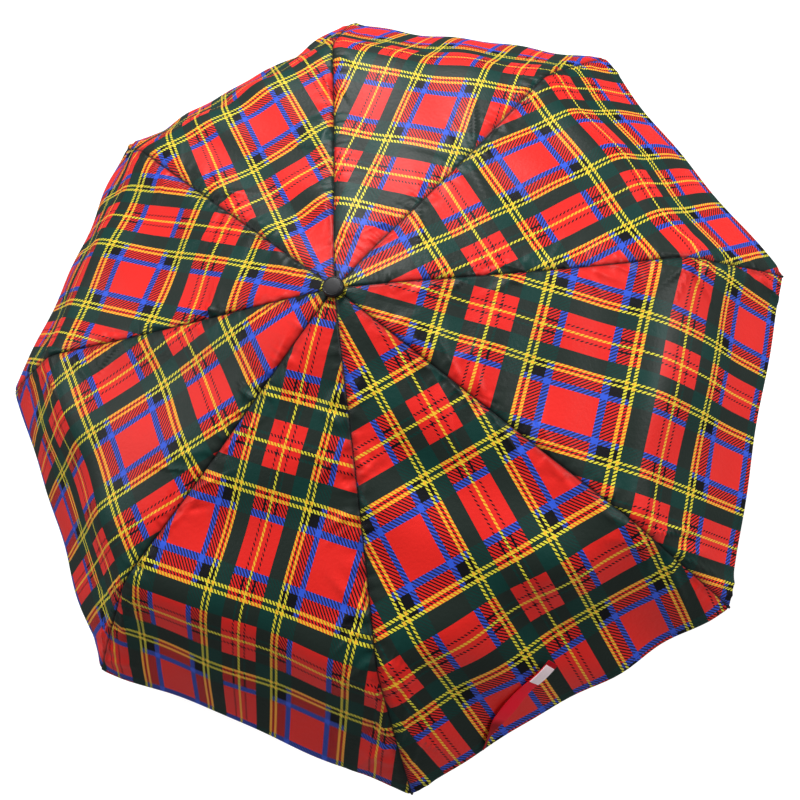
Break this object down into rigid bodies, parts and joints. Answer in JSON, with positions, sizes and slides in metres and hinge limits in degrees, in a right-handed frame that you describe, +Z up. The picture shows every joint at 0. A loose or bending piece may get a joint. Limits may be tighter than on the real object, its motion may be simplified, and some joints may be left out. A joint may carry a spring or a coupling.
{
  "type": "folding umbrella",
  "caption": "Compact three-fold umbrella, open, with a tartan cloth canopy, round top cap, tie strap, telescoping shaft and short handle.",
  "frame": {"origin": "centre of the handle's flat end face", "axes": "+Z up along the shaft to the cap; +Y towards rib 1; ribs numbered clockwise seen from above"},
  "size_m": [0.9832, 0.9832, 0.5562],
  "materials": {
    "black_plastic": "moulded, satin",
    "cap_plastic": "moulded, satin",
    "grip_rubber": "soft, fine grain",
    "tube_steel": "plated",
    "wire_steel": "drawn wire",
    "rib_steel": "black lacquer",
    "plaid_cloth": "printed polyester pongee, red tartan",
    "strap_cloth": "satin ribbon, crimson",
    "hook_patch": "pale hook tape"
  },
  "bodies": {
    "handle": {"handle_end_cap": "black_plastic", "handle_core": "black_plastic", "handle_grip": "grip_rubber", "handle_collar": "black_plastic", "lower_tube": "tube_steel"},
    "middle_shaft": {"middle_tube": "tube_steel", "lower_bush": "black_plastic"},
    "top_shaft": {"top_tube": "tube_steel", "upper_bush": "black_plastic", "crown": "black_plastic", "crown_wire": "wire_steel", "stop_collar": "black_plastic", "crown_washer": "black_plastic", "cap": "cap_plastic"},
    "runner": {"runner": "black_plastic", "runner_wire": "wire_steel"},
    "inner_rib_1": {"inner_rib_1": "rib_steel", "canopy_panel_1": "plaid_cloth"},
    "middle_rib_1": {"middle_rib_1": "rib_steel"},
    "outer_rib_1": {"outer_rib_1": "rib_steel"},
    "stretcher_1": {"stretcher_1": "rib_steel"},
    "inner_rib_2": {"inner_rib_2": "rib_steel", "canopy_panel_2": "plaid_cloth"},
    "middle_rib_2": {"middle_rib_2": "rib_steel"},
    "outer_rib_2": {"outer_rib_2": "rib_steel"},
    "stretcher_2": {"stretcher_2": "rib_steel"},
    "inner_rib_3": {"inner_rib_3": "rib_steel", "canopy_panel_3": "plaid_cloth"},
    "middle_rib_3": {"middle_rib_3": "rib_steel"},
    "outer_rib_3": {"outer_rib_3": "rib_steel"},
    "stretcher_3": {"stretcher_3": "rib_steel"},
    "inner_rib_4": {"inner_rib_4": "rib_steel", "canopy_panel_4": "plaid_cloth"},
    "middle_rib_4": {"middle_rib_4": "rib_steel"},
    "outer_rib_4": {"outer_rib_4": "rib_steel"},
    "stretcher_4": {"stretcher_4": "rib_steel"},
    "inner_rib_5": {"inner_rib_5": "rib_steel", "canopy_panel_5": "plaid_cloth"},
    "middle_rib_5": {"middle_rib_5": "rib_steel"},
    "outer_rib_5": {"outer_rib_5": "rib_steel", "tie_strap": "strap_cloth", "hook_patch": "hook_patch"},
    "stretcher_5": {"stretcher_5": "rib_steel"},
    "inner_rib_6": {"inner_rib_6": "rib_steel", "canopy_panel_6": "plaid_cloth"},
    "middle_rib_6": {"middle_rib_6": "rib_steel"},
    "outer_rib_6": {"outer_rib_6": "rib_steel"},
    "stretcher_6": {"stretcher_6": "rib_steel"},
    "inner_rib_7": {"inner_rib_7": "rib_steel", "canopy_panel_7": "plaid_cloth"},
    "middle_rib_7": {"middle_rib_7": "rib_steel"},
    "outer_rib_7": {"outer_rib_7": "rib_steel"},
    "stretcher_7": {"stretcher_7": "rib_steel"},
    "inner_rib_8": {"inner_rib_8": "rib_steel", "canopy_panel_8": "plaid_cloth"},
    "middle_rib_8": {"middle_rib_8": "rib_steel"},
    "outer_rib_8": {"outer_rib_8": "rib_steel"},
    "stretcher_8": {"stretcher_8": "rib_steel"}
  },
  "joints": [
    {"name": "middle_tube_slide", "type": "slide", "parent": "handle", "child": "middle_shaft", "axis": [0, 0, -1], "range_m": [0, 0.13]},
    {"name": "top_tube_slide", "type": "slide", "parent": "middle_shaft", "child": "top_shaft", "axis": [0, 0, -1], "range_m": [0, 0.142]},
    {"name": "runner_slide", "type": "slide", "parent": "top_shaft", "child": "runner", "axis": [0, 0, -1], "range_m": [0, 0.13572], "deforming": ["canopy_panel_1", "canopy_panel_2", "canopy_panel_3", "canopy_panel_4", "canopy_panel_5", "canopy_panel_6", "canopy_panel_7", "canopy_panel_8", "tie_strap", "hook_patch"]},
    {"name": "inner_hinge_1", "type": "hinge", "parent": "top_shaft", "child": "inner_rib_1", "pos_m": [0, 0.0094, 0.5403], "axis": [-1, 0, 0], "range_deg": [0, 79.5]},
    {"name": "middle_hinge_1", "type": "hinge", "parent": "inner_rib_1", "child": "middle_rib_1", "pos_m": [0, 0.18343, 0.51392], "axis": [1, 0, 0], "range_deg": [0, 178.5]},
    {"name": "outer_hinge_1", "type": "hinge", "parent": "middle_rib_1", "child": "outer_rib_1", "pos_m": [0, 0.36188, 0.47756], "axis": [-1, 0, 0], "range_deg": [0, 151.15]},
    {"name": "stretcher_hinge_1", "type": "hinge", "parent": "inner_rib_1", "child": "stretcher_1", "pos_m": [0, 0.0883, 0.5271], "axis": [1, 0, 0], "range_deg": [0, 159.13]},
    {"name": "inner_hinge_2", "type": "hinge", "parent": "top_shaft", "child": "inner_rib_2", "pos_m": [0.00665, 0.00665, 0.5403], "axis": [-0.7071, 0.7071, 0], "range_deg": [0, 79.5]},
    {"name": "middle_hinge_2", "type": "hinge", "parent": "inner_rib_2", "child": "middle_rib_2", "pos_m": [0.12971, 0.12971, 0.51392], "axis": [0.7071, -0.7071, 0], "range_deg": [0, 178.5]},
    {"name": "outer_hinge_2", "type": "hinge", "parent": "middle_rib_2", "child": "outer_rib_2", "pos_m": [0.25589, 0.25589, 0.47756], "axis": [-0.7071, 0.7071, 0], "range_deg": [0, 151.15]},
    {"name": "stretcher_hinge_2", "type": "hinge", "parent": "inner_rib_2", "child": "stretcher_2", "pos_m": [0.06244, 0.06244, 0.5271], "axis": [0.7071, -0.7071, 0], "range_deg": [0, 159.13]},
    {"name": "inner_hinge_3", "type": "hinge", "parent": "top_shaft", "child": "inner_rib_3", "pos_m": [0.0094, 0, 0.5403], "axis": [0, 1, 0], "range_deg": [0, 79.5]},
    {"name": "middle_hinge_3", "type": "hinge", "parent": "inner_rib_3", "child": "middle_rib_3", "pos_m": [0.18343, 0, 0.51392], "axis": [0, -1, 0], "range_deg": [0, 178.5]},
    {"name": "outer_hinge_3", "type": "hinge", "parent": "middle_rib_3", "child": "outer_rib_3", "pos_m": [0.36188, 0, 0.47756], "axis": [0, 1, 0], "range_deg": [0, 151.15]},
    {"name": "stretcher_hinge_3", "type": "hinge", "parent": "inner_rib_3", "child": "stretcher_3", "pos_m": [0.0883, 0, 0.5271], "axis": [0, -1, 0], "range_deg": [0, 159.13]},
    {"name": "inner_hinge_4", "type": "hinge", "parent": "top_shaft", "child": "inner_rib_4", "pos_m": [0.00665, -0.00665, 0.5403], "axis": [0.7071, 0.7071, 0], "range_deg": [0, 79.5]},
    {"name": "middle_hinge_4", "type": "hinge", "parent": "inner_rib_4", "child": "middle_rib_4", "pos_m": [0.12971, -0.12971, 0.51392], "axis": [-0.7071, -0.7071, 0], "range_deg": [0, 178.5]},
    {"name": "outer_hinge_4", "type": "hinge", "parent": "middle_rib_4", "child": "outer_rib_4", "pos_m": [0.25589, -0.25589, 0.47756], "axis": [0.7071, 0.7071, 0], "range_deg": [0, 151.15]},
    {"name": "stretcher_hinge_4", "type": "hinge", "parent": "inner_rib_4", "child": "stretcher_4", "pos_m": [0.06244, -0.06244, 0.5271], "axis": [-0.7071, -0.7071, 0], "range_deg": [0, 159.13]},
    {"name": "inner_hinge_5", "type": "hinge", "parent": "top_shaft", "child": "inner_rib_5", "pos_m": [0, -0.0094, 0.5403], "axis": [1, 0, 0], "range_deg": [0, 79.5]},
    {"name": "middle_hinge_5", "type": "hinge", "parent": "inner_rib_5", "child": "middle_rib_5", "pos_m": [0, -0.18343, 0.51392], "axis": [-1, 0, 0], "range_deg": [0, 178.5]},
    {"name": "outer_hinge_5", "type": "hinge", "parent": "middle_rib_5", "child": "outer_rib_5", "pos_m": [0, -0.36188, 0.47756], "axis": [1, 0, 0], "range_deg": [0, 151.15]},
    {"name": "stretcher_hinge_5", "type": "hinge", "parent": "inner_rib_5", "child": "stretcher_5", "pos_m": [0, -0.0883, 0.5271], "axis": [-1, 0, 0], "range_deg": [0, 159.13]},
    {"name": "inner_hinge_6", "type": "hinge", "parent": "top_shaft", "child": "inner_rib_6", "pos_m": [-0.00665, -0.00665, 0.5403], "axis": [0.7071, -0.7071, 0], "range_deg": [0, 79.5]},
    {"name": "middle_hinge_6", "type": "hinge", "parent": "inner_rib_6", "child": "middle_rib_6", "pos_m": [-0.12971, -0.12971, 0.51392], "axis": [-0.7071, 0.7071, 0], "range_deg": [0, 178.5]},
    {"name": "outer_hinge_6", "type": "hinge", "parent": "middle_rib_6", "child": "outer_rib_6", "pos_m": [-0.25589, -0.25589, 0.47756], "axis": [0.7071, -0.7071, 0], "range_deg": [0, 151.15]},
    {"name": "stretcher_hinge_6", "type": "hinge", "parent": "inner_rib_6", "child": "stretcher_6", "pos_m": [-0.06244, -0.06244, 0.5271], "axis": [-0.7071, 0.7071, 0], "range_deg": [0, 159.13]},
    {"name": "inner_hinge_7", "type": "hinge", "parent": "top_shaft", "child": "inner_rib_7", "pos_m": [-0.0094, 0, 0.5403], "axis": [0, -1, 0], "range_deg": [0, 79.5]},
    {"name": "middle_hinge_7", "type": "hinge", "parent": "inner_rib_7", "child": "middle_rib_7", "pos_m": [-0.18343, 0, 0.51392], "axis": [0, 1, 0], "range_deg": [0, 178.5]},
    {"name": "outer_hinge_7", "type": "hinge", "parent": "middle_rib_7", "child": "outer_rib_7", "pos_m": [-0.36188, 0, 0.47756], "axis": [0, -1, 0], "range_deg": [0, 151.15]},
    {"name": "stretcher_hinge_7", "type": "hinge", "parent": "inner_rib_7", "child": "stretcher_7", "pos_m": [-0.0883, 0, 0.5271], "axis": [0, 1, 0], "range_deg": [0, 159.13]},
    {"name": "inner_hinge_8", "type": "hinge", "parent": "top_shaft", "child": "inner_rib_8", "pos_m": [-0.00665, 0.00665, 0.5403], "axis": [-0.7071, -0.7071, 0], "range_deg": [0, 79.5]},
    {"name": "middle_hinge_8", "type": "hinge", "parent": "inner_rib_8", "child": "middle_rib_8", "pos_m": [-0.12971, 0.12971, 0.51392], "axis": [0.7071, 0.7071, 0], "range_deg": [0, 178.5]},
    {"name": "outer_hinge_8", "type": "hinge", "parent": "middle_rib_8", "child": "outer_rib_8", "pos_m": [-0.25589, 0.25589, 0.47756], "axis": [-0.7071, -0.7071, 0], "range_deg": [0, 151.15]},
    {"name": "stretcher_hinge_8", "type": "hinge", "parent": "inner_rib_8", "child": "stretcher_8", "pos_m": [-0.06244, 0.06244, 0.5271], "axis": [0.7071, 0.7071, 0], "range_deg": [0, 159.13]}
  ],
  "couplings": [
    {"joint": "inner_hinge_1", "follows": "runner_slide", "rad_per_m": 10.224},
    {"joint": "middle_hinge_1", "follows": "runner_slide", "rad_per_m": 22.955},
    {"joint": "outer_hinge_1", "follows": "runner_slide", "rad_per_m": 19.438},
    {"joint": "stretcher_hinge_1", "follows": "runner_slide", "rad_per_m": 20.463},
    {"joint": "inner_hinge_2", "follows": "runner_slide", "rad_per_m": 10.224},
    {"joint": "middle_hinge_2", "follows": "runner_slide", "rad_per_m": 22.955},
    {"joint": "outer_hinge_2", "follows": "runner_slide", "rad_per_m": 19.438},
    {"joint": "stretcher_hinge_2", "follows": "runner_slide", "rad_per_m": 20.463},
    {"joint": "inner_hinge_3", "follows": "runner_slide", "rad_per_m": 10.224},
    {"joint": "middle_hinge_3", "follows": "runner_slide", "rad_per_m": 22.955},
    {"joint": "outer_hinge_3", "follows": "runner_slide", "rad_per_m": 19.438},
    {"joint": "stretcher_hinge_3", "follows": "runner_slide", "rad_per_m": 20.463},
    {"joint": "inner_hinge_4", "follows": "runner_slide", "rad_per_m": 10.224},
    {"joint": "middle_hinge_4", "follows": "runner_slide", "rad_per_m": 22.955},
    {"joint": "outer_hinge_4", "follows": "runner_slide", "rad_per_m": 19.438},
    {"joint": "stretcher_hinge_4", "follows": "runner_slide", "rad_per_m": 20.463},
    {"joint": "inner_hinge_5", "follows": "runner_slide", "rad_per_m": 10.224},
    {"joint": "middle_hinge_5", "follows": "runner_slide", "rad_per_m": 22.955},
    {"joint": "outer_hinge_5", "follows": "runner_slide", "rad_per_m": 19.438},
    {"joint": "stretcher_hinge_5", "follows": "runner_slide", "rad_per_m": 20.463},
    {"joint": "inner_hinge_6", "follows": "runner_slide", "rad_per_m": 10.224},
    {"joint": "middle_hinge_6", "follows": "runner_slide", "rad_per_m": 22.955},
    {"joint": "outer_hinge_6", "follows": "runner_slide", "rad_per_m": 19.438},
    {"joint": "stretcher_hinge_6", "follows": "runner_slide", "rad_per_m": 20.463},
    {"joint": "inner_hinge_7", "follows": "runner_slide", "rad_per_m": 10.224},
    {"joint": "middle_hinge_7", "follows": "runner_slide", "rad_per_m": 22.955},
    {"joint": "outer_hinge_7", "follows": "runner_slide", "rad_per_m": 19.438},
    {"joint": "stretcher_hinge_7", "follows": "runner_slide", "rad_per_m": 20.463},
    {"joint": "inner_hinge_8", "follows": "runner_slide", "rad_per_m": 10.224},
    {"joint": "middle_hinge_8", "follows": "runner_slide", "rad_per_m": 22.955},
    {"joint": "outer_hinge_8", "follows": "runner_slide", "rad_per_m": 19.438},
    {"joint": "stretcher_hinge_8", "follows": "runner_slide", "rad_per_m": 20.463}
  ]
}
